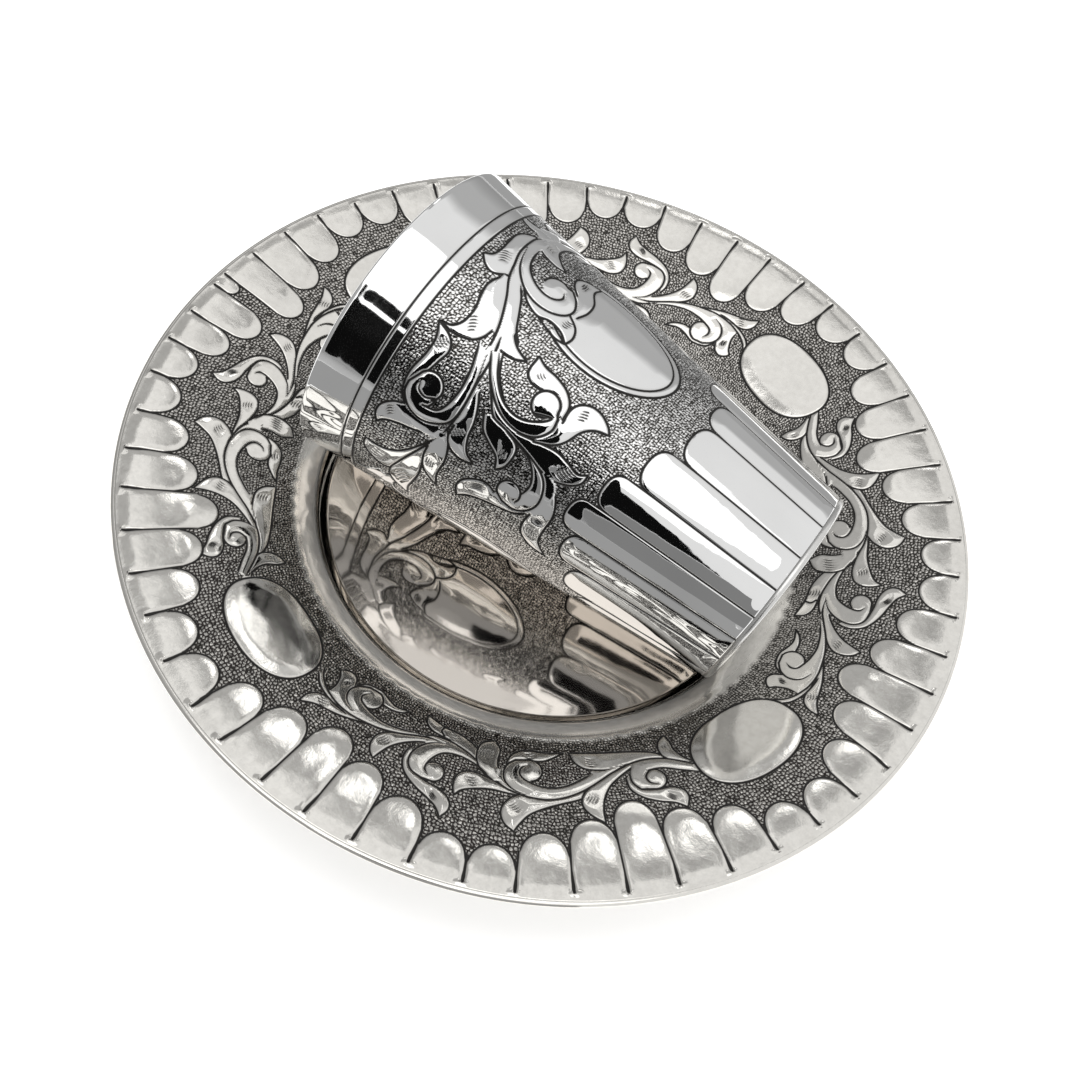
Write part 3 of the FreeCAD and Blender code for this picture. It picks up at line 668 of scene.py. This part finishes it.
def shoulder_rings(count):
    """The plate's crease and shoulder, with a turned groove and the chatter of the hammer."""
    crease = math.acos((FLOOR_TOP - SHOULDER_Z) / SHOULDER)
    crease_r = SHOULDER_X - SHOULDER * math.sin(crease)
    rings = circles([(crease_r - 0.35, FLOOR_TOP), (crease_r - 0.1, FLOOR_TOP + 0.02)], count)
    chatter = np.sin(np.arange(count) * 2 * math.pi * CHATTER_WAVES / count)
    last = math.asin((SHOULDER_X - (CHASED_IN - 0.2)) / SHOULDER)
    for slope in np.linspace(crease - 0.01, last, 20):
        r = SHOULDER_X - SHOULDER * math.sin(slope)
        groove = 0.14 * math.exp(-((r - GROOVE_R) / 0.2) ** 2)
        dent = 0.05 * math.exp(-((r - CHATTER_R) / 0.7) ** 2) * chatter - groove
        ring = circles([(r, SHOULDER_Z + SHOULDER * math.cos(slope))], count)[0]
        ring[:, :2] *= (1 - dent * math.sin(slope) / r)[:, None]
        ring[:, 2] += dent * math.cos(slope)
        rings.append(ring)
    return rings


def chased_rings(c, r, z, lift, tilt):
    """Rings over a canvas's grid, each point lifted off the smooth shape along its normal."""
    angle = np.radians(c.x)
    r, z = r + lift * np.cos(tilt), z + lift * np.sin(tilt)
    surface = np.stack([r * np.cos(angle), r * np.sin(angle), z], 1)
    return list(surface.reshape(*c.shape, 3))


def chased_values(c, first):
    """What the finishes read, for loft; first is the number of the canvas's first ring."""
    return {"ink": (FAR, first, c.ink), "solid": (1, first, c.solid), "grain": (1, first, c.grain)}


def border(count):
    """The rings of the plate's chased border, and its canvas."""
    radii, degrees = np.linspace(CHASED_IN, CHASED_OUT, 182), 360 * np.arange(count) / count
    canvas = Canvas(radii, degrees, lambda r: r)
    draw_plate(canvas)
    canvas.grain = pebbles(canvas.x, np.log(canvas.y), PLATE_GRAINS, 0.5)
    r = canvas.y
    inward = ease((r - 47.8) / 1.5)
    outward = ease((78.8 - r) / 2.4)
    waves = 0.045 * swell(canvas.x, r, 6.5, 65) + 0.022 * swell(canvas.x, r, 2.8, 65)
    waves = waves * (0.68 + 0.32 * np.cos(np.radians(canvas.x + 95)))
    puff = 1 - 0.75 * ease((r - 66.5) / 3)
    lift = relief(canvas, inward * outward, inward, 0.13, waves, puff)
    z, slope = plate_top(r)
    return chased_rings(canvas, r, z, lift, math.pi / 2 + slope), canvas


def underside():
    radii = np.concatenate([np.linspace(78.9, 50, 12), np.linspace(48, 43, 8), [42.4, COVE_X]])
    section = [(RIM_IN, plate_top(RIM_IN)[0] - 0.7)]
    for r, z, slope in zip(radii, *plate_top(radii)):
        section.append((min(r + SHEET * math.sin(slope), RIM_IN), z - SHEET * math.cos(slope)))
    return section + [(20, 0)]


def build_dish():
    fine, middle, coarse = 2160, 540, 270
    rings = [np.array([[0, 0, FLOOR_TOP]])]
    rings += circles([(r, FLOOR_TOP) for r in (8, 18, 28, 36, 40.5)], coarse) + shoulder_rings(middle)
    first = len(rings)
    chased, canvas = border(fine)
    rings += chased + circles([(r, plate_top(r)[0]) for r in (78.95, RIM_IN)], fine)
    rings += circles(underside(), coarse) + [np.array([[0, 0, 0.0]])]
    return loft("plate_dish_chased", rings, attributes=chased_values(canvas, first))


def wall(count, taper):
    """The rings of the beaker's chased outside, and its canvas."""
    heights, degrees = np.linspace(CHASED_TOP, FOOT_EDGE, 400), 360 * np.arange(count) / count
    canvas = Canvas(heights, degrees, beaker_radius)
    draw_beaker(canvas)
    h, r = canvas.y, beaker_radius(canvas.y)
    climb = np.log(r) / math.tan(taper) / math.cos(taper)
    canvas.grain = pebbles(canvas.x, climb, BEAKER_GRAINS, 0.38)
    smooth = ease((h - 1.2) / 2.5) * ease((73.0 - h) / 0.5)
    waves = 0.014 * swell(canvas.x, h, 7, 25) + 0.004 * swell(canvas.x, h, 3, 25)
    lift = relief(canvas, smooth, 1.0, 0.11, waves)
    lift = np.where(h > 72.9, np.minimum(lift, 0), lift)
    return chased_rings(canvas, r, h, lift, -taper), canvas


def build_wall():
    fine, coarse = 1000, 250
    lip, taper = 0.4, math.atan2(MOUTH_R - FOOT_R, LENGTH)
    top, thick = LENGTH - lip, WALL / math.cos(taper)
    band = arc(MOUTH_R - lip, top, lip, 90, 5, 7) + [(beaker_radius(h), h) for h in (82.6, 80, 77.5)]
    chased, canvas = wall(fine, taper)
    inside = [(beaker_radius(h) - thick, h) for h in [FOOT_EDGE] + list(np.linspace(3, 82.6, 14))]
    inside += arc(beaker_radius(top) - thick + lip, top, lip, 175, 100, 4)
    rings = circles(band, fine) + chased + circles(inside, coarse)
    values = chased_values(canvas, len(band))
    values["lining"] = (0, len(band) + len(chased), np.ones(coarse * len(inside)))
    return loft("beaker_wall_chased", [on_beaker(ring) for ring in rings], True, values)


def build_rim():
    """The rim wire: rounded outside, with a bevelled seat under the sheet's edge."""
    section = [(79.2, 15.134), (79.35, 15.128)] + arc(79.3, 14.44, 0.7, 70, -80, 12)
    section += [(78.75, 13.76), (78.4, 13.85), (78.25, 14.2), (78.7, 14.6)]
    return loft("rim_wire_round", circles(section, 640), True)


def build_base():
    """The beaker's base, sunk a little from its rounded foot."""
    inner = float(beaker_radius(FOOT_EDGE)) - WALL
    section = [(6, 2.5), (inner - 0.5, 2.5), (inner, 2.3), (inner, FOOT_EDGE), (inner + WALL, FOOT_EDGE)]
    section += arc(FOOT_R - 0.55, 0.6, 0.6, 0, -90, 8) + [(17.2, 0), (17, 0.1), (17, 0.5), (6, 0.5)]
    rings = [np.array([[0, 0, 2.5]])] + circles(section, 360) + [np.array([[0, 0, 0.5]])]
    return loft("beaker_base_turned", [on_beaker(ring) for ring in rings])


# ---- finishes


def feed(tree, socket, value):
    """Link a socket to another node's output, or set it to a plain value."""
    if isinstance(value, bpy.types.NodeSocket):
        tree.links.new(value, socket)
    else:
        socket.default_value = value


def node(tree, kind, inputs=None, **settings):
    """A new shader node; inputs gives its sockets plain values or links, settings its options."""
    made = tree.nodes.new("ShaderNode" + kind)
    for key, value in settings.items():
        setattr(made, key, value)
    for key, value in (inputs or {}).items():
        feed(tree, made.inputs[key], value)
    return made


def remap(tree, value, low, high, to_low=0.0, to_high=1.0):
    made = node(tree, "MapRange", {0: value, 1: low, 2: high, 3: to_low, 4: to_high})
    return made.outputs[0]


def maths(tree, kind, a, b):
    return node(tree, "Math", {0: a, 1: b}, operation=kind).outputs[0]


def blend(tree, share, a, b):
    """Colour a where share is 0, colour b where it is 1."""
    made = node(tree, "Mix", {0: share, 6: a, 7: b}, data_type="RGBA")
    return made.outputs[2]


# The third colour is the beaker's base, darkened as painted shade for the shaded underside of the beaker.
WARM, COOL, SHADED_BASE_SILVER = (0.88, 0.86, 0.815, 1), (0.87, 0.87, 0.865, 1), (0.74, 0.735, 0.72, 1)
PLATE_TOPS, BEAKER_TOPS = (0.74, 0.715, 0.675, 1), (0.95, 0.945, 0.93, 1)
PIT, BLACK = (0.045, 0.042, 0.038, 1), (0.012, 0.011, 0.010, 1)
STAIN, SHADOW = (0.45, 0.43, 0.40, 1), (0.42, 0.40, 0.37, 1)
# The first colour is painted shade and a painted reflection of the beaker, laid on the plate's well; the
# second is a dark painted reflection laid round the plate's centre.
SHADED_WELL_BROWN, EYE_DARK_REFLECTION = (0.67, 0.625, 0.575, 1), (0.16, 0.15, 0.14, 1)


class Silver:
    """A silver finish: its colour, roughness, metal share and normal, built up in layers."""

    def __init__(self, name, metal, polish, tarnish, well=False):
        """polish is its usual roughness, and tarnish how mottled it is, 0 to 1, outside the plate's
        clean well."""
        self.made = bpy.data.materials.new(name)
        self.made.use_nodes = True
        tree = self.tree = self.made.node_tree
        self.place = node(tree, "TexCoord").outputs["Object"]
        if well:
            flat = node(tree, "VectorMath", {0: self.place, 1: (1000, 1000, 0)}, operation="MULTIPLY")
            length = node(tree, "VectorMath", {0: flat.outputs[0]}, operation="LENGTH")
            self.radius = length.outputs["Value"]
            self.inside = remap(tree, self.radius, 43.2, 42.4)
            tarnish = self.times(tarnish, maths(tree, "SUBTRACT", 1.0, self.inside))
        wear = self.noise(55.0, 4.0)
        mottle = self.noise(700.0, 6.0, 0.7)
        self.metallic = 1.0
        self.rough = remap(tree, wear, 0.3, 0.7, polish * 0.7, polish * 1.4)
        self.normal = None
        self.dent(self.noise(260.0, 1.5), 0.16, 0.0001)
        self.dent(mottle, tarnish, 0.00005)
        worn = tuple(c * 0.93 for c in metal[:3]) + (1,)
        self.colour = blend(tree, remap(tree, wear, 0.4, 0.75), metal, worn)
        self.tint(remap(tree, mottle, 0.35, 0.8, 0.0, tarnish), STAIN)

    def times(self, a, b):
        return maths(self.tree, "MULTIPLY", a, b)

    def noise(self, scale, detail, roughness=0.5):
        inputs = {"Vector": self.place, "Scale": scale, "Detail": detail, "Roughness": roughness}
        return node(self.tree, "TexNoise", inputs).outputs[0]

    def value(self, name):
        return node(self.tree, "Attribute", attribute_name=name).outputs["Fac"]

    def tint(self, share, colour):
        self.colour = blend(self.tree, share, self.colour, colour)

    def roughen(self, share, amount):
        self.rough = maths(self.tree, "ADD", self.rough, self.times(share, amount))

    def scatter(self, share, amount):
        """Less like a mirror and more like a plain surface."""
        kept = maths(self.tree, "SUBTRACT", 1.0, self.times(share, amount))
        self.metallic = self.times(self.metallic, kept)

    def dent(self, height, strength, distance):
        """Lay a fine relief over the normal so far; distance is in metres."""
        inputs = {"Height": height, "Strength": strength, "Distance": distance}
        if self.normal is not None:
            inputs["Normal"] = self.normal
        self.normal = node(self.tree, "Bump", inputs).outputs[0]

    def lining(self):
        """The satin inside of the beaker."""
        satin = self.value("lining")
        self.roughen(satin, 0.26)
        self.scatter(satin, 0.3)

    def floor(self):
        """The plate's floor, tinted brown as painted shade and a painted reflection of the beaker, with
        turning marks and a dark painted reflection round its eye, and its satin shoulder.
        """
        tree, radius = self.tree, self.radius
        shoulder = self.times(remap(tree, radius, 44.5, 45.0), remap(tree, radius, 50.0, 47.0))
        self.roughen(self.inside, 0.015)
        self.roughen(shoulder, 0.07)
        self.scatter(shoulder, 0.35)
        eye = remap(tree, radius, 14.0, 0.0)
        marks = maths(tree, "SINE", self.times(radius, 2.2), 0)
        depth = maths(tree, "ADD", self.times(self.inside, 0.02), eye)
        self.dent(self.times(marks, depth), 0.25, 0.00003)
        # Painted shade and reflection: the well is tinted brown where the beaker's dark reflection and
        # its shade fall.
        self.tint(self.inside, SHADED_WELL_BROWN)
        # Painted reflection: the centre is darkened along the real turning marks, standing in for a dark
        # reflection swirling round the eye.
        self.tint(self.times(eye, remap(tree, marks, -1.0, 0.6, 0.2, 0.9)), EYE_DARK_REFLECTION)

    def chase(self, tops, pits, soot):
        """Dark chased lines and stippled ground, from the mesh's values. tops is the colour of the
        ground's grains, pits how far the dark reaches up them and soot how much fine dark speckle
        lies on them."""
        tree = self.tree
        ink = self.value("ink")
        line = remap(tree, ink, 0.05, -0.05)
        ground = maths(tree, "SUBTRACT", 1.0, self.value("solid"))
        voronoi = node(tree, "TexVoronoi", {"Vector": self.place, "Scale": 2600.0})
        specks = voronoi.outputs["Distance"]
        pit = remap(tree, self.value("grain"), pits, pits * 0.45)
        speck = self.times(remap(tree, specks, 0.25, 0.62), soot)
        self.tint(remap(tree, ink, 0.4, 0.0, 0.0, 0.22), SHADOW)
        self.tint(ground, blend(tree, maths(tree, "MAXIMUM", pit, speck), tops, PIT))
        self.tint(line, BLACK)
        self.roughen(ground, 0.04)
        self.roughen(line, 0.3)
        self.scatter(line, 0.5)
        rise = self.times(maths(tree, "SUBTRACT", 0.7, specks), ground)
        self.dent(rise, soot, 0.0002)

    def material(self):
        face = self.tree.nodes["Principled BSDF"]
        for key, value in (("Base Color", self.colour), ("Roughness", self.rough),
                           ("Metallic", self.metallic), ("Normal", self.normal)):
            feed(self.tree, face.inputs[key], value)
        return self.made


def plate_silver():
    made = Silver("silver_chased_plate", WARM, polish=0.05, tarnish=0.35, well=True)
    made.floor()
    made.chase(PLATE_TOPS, pits=0.84, soot=0.4)
    return made.material()


def beaker_silver():
    made = Silver("silver_chased_beaker", COOL, polish=0.03, tarnish=0.02)
    made.lining()
    made.chase(BEAKER_TOPS, pits=0.95, soot=0.12)
    return made.material()


def dress(obj, body, cad, finish):
    obj.data.materials.clear()
    obj.data.materials.append(finish)
    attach(obj, body)
    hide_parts(cad)


dress(build_dish(), "plate", "plate_dish", plate_silver())
dress(build_rim(), "plate", "rim_wire",
      Silver("silver_rim", WARM, polish=0.09, tarnish=0.2).material())
dress(build_wall(), "beaker", "beaker_wall", beaker_silver())
# The base's silver is darkened as painted shade, for the shade under the beaker's foot.
dress(build_base(), "beaker", "beaker_base",
      Silver("silver_base", SHADED_BASE_SILVER, polish=0.27, tarnish=0.2).material())


# ---- studio


def card(name, level, distance, corners):
    """A card seen only in reflections; its corners are directions (azimuth, elevation), distance is
    in metres and level is how bright it is."""
    points = []
    for azimuth, elevation in corners:
        a, e = math.radians(azimuth), math.radians(elevation)
        points.append((distance * math.cos(e) * math.cos(a), distance * math.cos(e) * math.sin(a),
                       distance * math.sin(e)))
    mesh = bpy.data.meshes.new(name)
    mesh.from_pydata(points, [], [tuple(range(len(points)))])
    glow = bpy.data.materials.new(name + "_glow")
    glow.use_nodes = True
    glow.node_tree.nodes.clear()
    light = node(glow.node_tree, "Emission", {"Color": (1, 1, 1, 1), "Strength": level})
    out = node(glow.node_tree, "OutputMaterial")
    glow.node_tree.links.new(light.outputs[0], out.inputs[0])
    mesh.materials.append(glow)
    obj = show(name, mesh)
    obj.visible_camera = False
    obj.visible_shadow = False
    obj.visible_diffuse = False


WHITE, BLACK_CARD = 1.5, 0.004
card("card_overhead", WHITE, 5, [(-160, 62), (-125, 52), (-95, 50), (-60, 50), (-25, 58), (20, 70),
     (90, 77), (160, 74)])
card("card_back", 1.9, 4.5, [(104.5, 50), (108.5, 51.8), (112, 50.5), (112, 45.5), (108.5, 44),
     (105, 46)])
card("card_shade", 0.4, 4.6, [(100.5, 55.5), (102, 52.5), (105.5, 53), (107, 51.5), (110, 52.5),
     (109, 55), (110.5, 56.5), (107, 58), (103.5, 57.5), (102, 58.5)])
card("card_light", 0.92, 4.6, [(114.5, 53), (126, 52.5), (130, 61), (178, 61), (180, 76), (140, 75),
     (108, 64), (107.5, 58.5), (112, 58.8), (116, 58), (117, 56.5)])
card("card_gap", WHITE, 4.5, [(-98, 26), (-90, 26), (-87, 38), (-86, 52), (-100, 54)])
card("card_dark_big", BLACK_CARD, 4, [(-83, 0.5), (-81, 19), (-75, 23), (-69, 28), (-68, 40), (-71, 53),
     (-86, 54), (-87, 44), (-88.5, 42.5), (-91.5, 42.5), (-93.2, 41.5), (-94.2, 39), (-95.8, 24),
     (-96.6, 8), (-96.7, 4), (-96.2, 1.8), (-95, 0.9)])
card("card_dark_slot", BLACK_CARD, 4, [(-91.6, 47.5), (-91, 46.2), (-89, 45.4), (-87.3, 46.5),
     (-86.8, 50), (-87.6, 53), (-89.5, 54.4), (-91.2, 53.6), (-91.8, 51)])
card("card_grey_front", 0.23, 4, [(-82.5, 0.5), (-62, 0.5), (-64, 27), (-69, 27.5), (-75, 22.5),
     (-80.5, 18.5)])
card("card_low", 0.36, 0.115, [(-140, 0.3), (-95, 0.3), (-50, 0.3), (-50, 17), (-95, 17), (-140, 17)])
card("card_low_right", 0.38, 0.16, [(128, 0.3), (62, 0.3), (62, 17), (128, 17)])


def lay_floor():
    """A white floor, lit from within near the plate, that fades to grey far away."""
    mesh = bpy.data.meshes.new("floor")
    half = 3
    mesh.from_pydata([(-half, -half, 0), (half, -half, 0), (half, half, 0), (-half, half, 0)], [],
                     [(0, 1, 2, 3)])
    made = bpy.data.materials.new("floor_white")
    made.use_nodes = True
    mesh.materials.append(made)
    tree = made.node_tree
    face = tree.nodes["Principled BSDF"]
    spot = node(tree, "TexCoord").outputs["Object"]
    far = node(tree, "VectorMath", {0: spot}, operation="LENGTH").outputs["Value"]
    colour = blend(tree, remap(tree, far, 0.26, 0.42), (0.9, 0.9, 0.9, 1), (0.5, 0.5, 0.5, 1))
    glow = remap(tree, far, 0.26, 0.4, 0.36, 0.0)
    for key, value in (("Base Color", colour), ("Roughness", 0.9), ("Emission Color", (1, 1, 1, 1)),
                       ("Emission Strength", glow)):
        feed(tree, face.inputs[key], value)
    floor = show("floor", mesh)
    floor.location.z = -0.0002


def light_sky():
    """A grey sky, brighter overhead and towards +X."""
    world = bpy.data.worlds.new("studio")
    bpy.context.scene.world = world
    world.use_nodes = True
    tree = world.node_tree
    way = node(tree, "TexCoord").outputs["Generated"]
    leaning = node(tree, "VectorMath", {0: way, 1: (1, 0, 1)}, operation="DOT_PRODUCT")
    ramp = node(tree, "ValToRGB", {0: remap(tree, leaning.outputs["Value"], -0.2, 1.0)})
    stops = ((0.0, 0.32), (0.14, 0.37), (0.3, 0.46), (0.6, 0.46), (0.65, 0.55), (0.69, 0.68),
             (0.74, 0.84), (1.0, 0.86))
    for i, (at, level) in enumerate(stops):
        stop = ramp.color_ramp.elements[i] if i < 2 else ramp.color_ramp.elements.new(at)
        stop.position = at
        stop.color = (level, level, level, 1)
    tree.links.new(ramp.outputs[0], tree.nodes["Background"].inputs["Color"])


def hang_key_light():
    """A big soft lamp that no mirror shows."""
    sun = bpy.data.lights.new("key", "AREA")
    sun.shape = "SQUARE"
    sun.size = 1.6
    sun.energy = 14
    key = show("key", sun)
    key.visible_glossy = False
    key.location = (-0.35, 0.5, 1.2)
    aim = -np.array(key.location)
    key.rotation_euler = (math.atan2(math.hypot(aim[0], aim[1]), -aim[2]), 0, math.atan2(-aim[0], aim[1]))


lay_floor()
light_sky()
hang_key_light()

# ---- camera

EYE_AT = (48.94, -125.03, 202.24)
turn, tilt, roll = (math.radians(a) for a in (21.361, 57.468, 15.981))
forward = np.array([0, math.cos(tilt), -math.sin(tilt)])
right = np.array([1.0, 0, 0])
up = np.cross(right, forward)
right, up = (math.cos(roll) * right + math.sin(roll) * up,
             -math.sin(roll) * right + math.cos(roll) * up)
spin = np.array([[math.cos(turn), -math.sin(turn), 0], [math.sin(turn), math.cos(turn), 0], [0, 0, 1]])
lens = bpy.data.cameras.new("camera")
lens.lens = 41.01
lens.sensor_width = 36
lens.clip_start = 0.01
camera = show("camera", lens)
place = np.eye(4)
place[:3, 0], place[:3, 1], place[:3, 2] = spin @ right, spin @ up, spin @ -forward
place[:3, 3] = np.array(EYE_AT) * MM
camera.matrix_world = Matrix(place.tolist())
bpy.context.scene.camera = camera
bpy.context.scene.view_settings.view_transform = "Standard"
